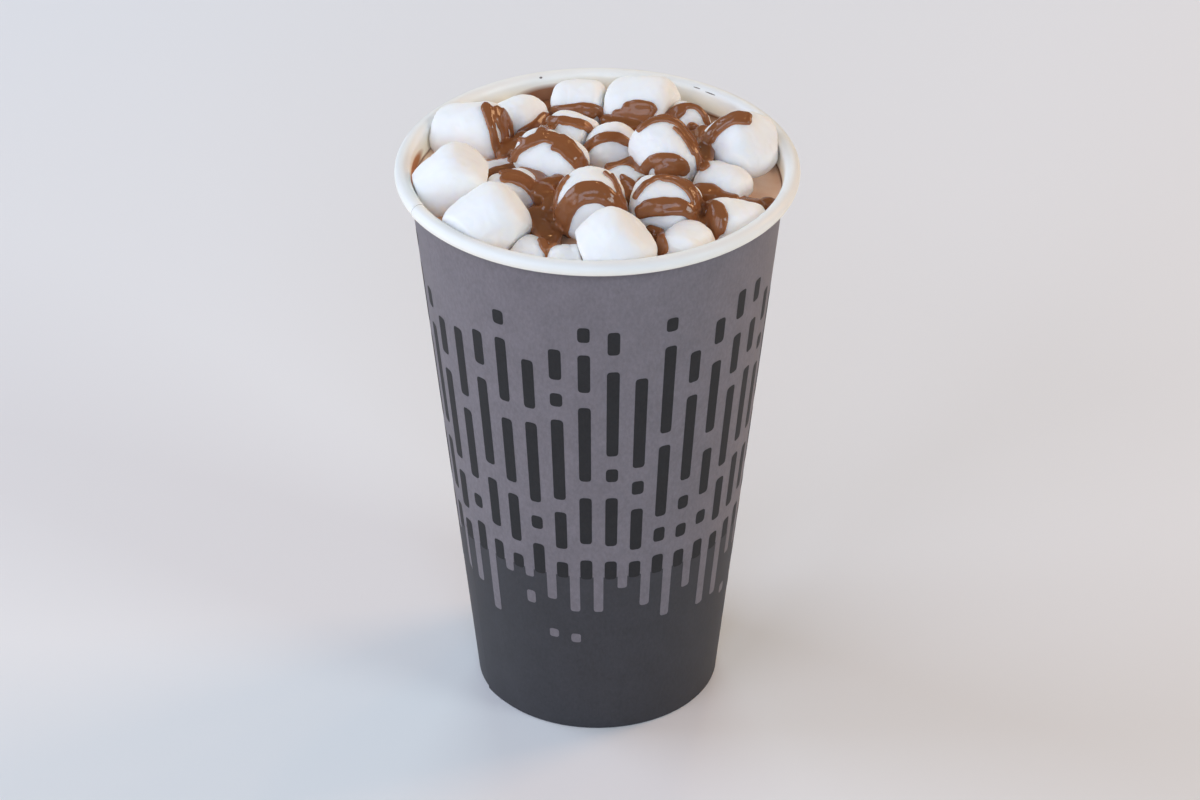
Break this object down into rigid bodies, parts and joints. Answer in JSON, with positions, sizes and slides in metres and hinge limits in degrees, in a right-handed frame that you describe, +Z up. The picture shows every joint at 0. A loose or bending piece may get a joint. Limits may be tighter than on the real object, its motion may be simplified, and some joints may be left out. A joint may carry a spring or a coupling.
{
  "type": "hot chocolate",
  "caption": "Tall paper cup of hot chocolate, heaped with marshmallows and drizzled with thick chocolate sauce.",
  "frame": {"origin": "centre of the cup's foot, on the surface that it stands on", "axes": "+Z up along the cup's axis; -Y is the front seen in the picture, +X its right-hand side; the paper's lap seam is on the -X side"},
  "size_m": [0.0898, 0.0898, 0.1432],
  "materials": {
    "printed_paper": "matte printed",
    "plain_paper": "matte coated",
    "cocoa": "wet",
    "marshmallow": "powdery matte",
    "chocolate_sauce": "glossy"
  },
  "bodies": {
    "root": {"cup_wall": "printed_paper", "cup_base": "plain_paper", "hot_chocolate": "cocoa", "marshmallow_01": "marshmallow", "marshmallow_02": "marshmallow", "marshmallow_03": "marshmallow", "marshmallow_04": "marshmallow", "marshmallow_05": "marshmallow", "marshmallow_06": "marshmallow", "marshmallow_07": "marshmallow", "marshmallow_08": "marshmallow", "marshmallow_09": "marshmallow", "marshmallow_10": "marshmallow", "marshmallow_11": "marshmallow", "marshmallow_12": "marshmallow", "marshmallow_13": "marshmallow", "marshmallow_14": "marshmallow", "marshmallow_15": "marshmallow", "marshmallow_16": "marshmallow", "marshmallow_17": "marshmallow", "marshmallow_18": "marshmallow", "marshmallow_19": "marshmallow", "marshmallow_20": "marshmallow", "marshmallow_21": "marshmallow", "marshmallow_22": "marshmallow", "marshmallow_23": "marshmallow", "marshmallow_24": "marshmallow"}
  },
  "joints": []
}
